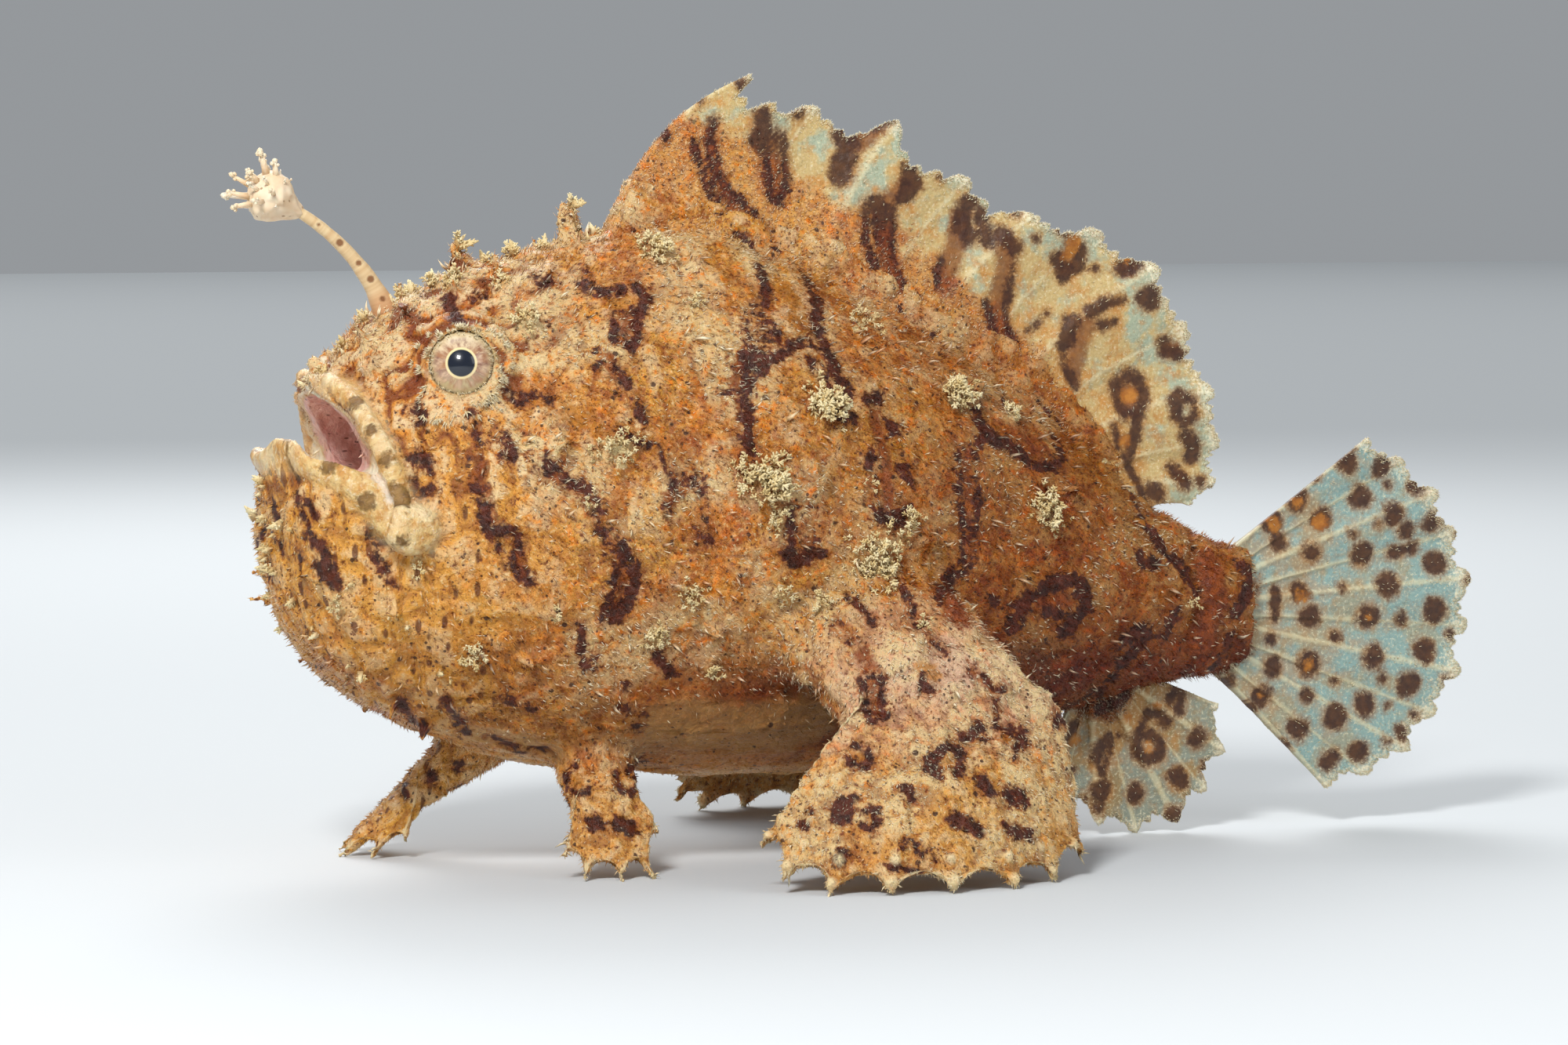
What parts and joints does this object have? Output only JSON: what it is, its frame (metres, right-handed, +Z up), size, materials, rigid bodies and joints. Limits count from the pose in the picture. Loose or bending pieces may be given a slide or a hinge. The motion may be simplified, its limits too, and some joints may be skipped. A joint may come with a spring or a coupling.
{
  "type": "frogfish",
  "caption": "Deep-bodied orange frogfish standing on limb-like fins, mouth open upwards, with a raised dorsal sail and a lure on a rod.",
  "frame": {"origin": "on the floor, under the middle of the animal's box", "axes": "+X from the head to the tail, -Y to the fish's left side, +Z up"},
  "size_m": [0.1702, 0.093, 0.099],
  "materials": {
    "skin": "moist skin, matt, with short pale spines",
    "fin": "thin translucent fin skin, satin",
    "lure": "soft pale skin, satin",
    "eye": "wet, glossy"
  },
  "bodies": {
    "root": {"head": "skin", "jaw": "skin", "torso": "skin", "tail_stalk": "skin", "dorsal_sail": "fin", "tail_fin": "fin", "anal_fin": "fin", "lure_rod": "lure", "lure": "lure", "eye_left": "eye", "eye_right": "eye", "pectoral_arm_left": "skin", "pectoral_arm_right": "skin", "pectoral_hand_left": "skin", "pectoral_hand_right": "skin", "pelvic_leg_left": "skin", "pelvic_leg_right": "skin"}
  },
  "joints": []
}
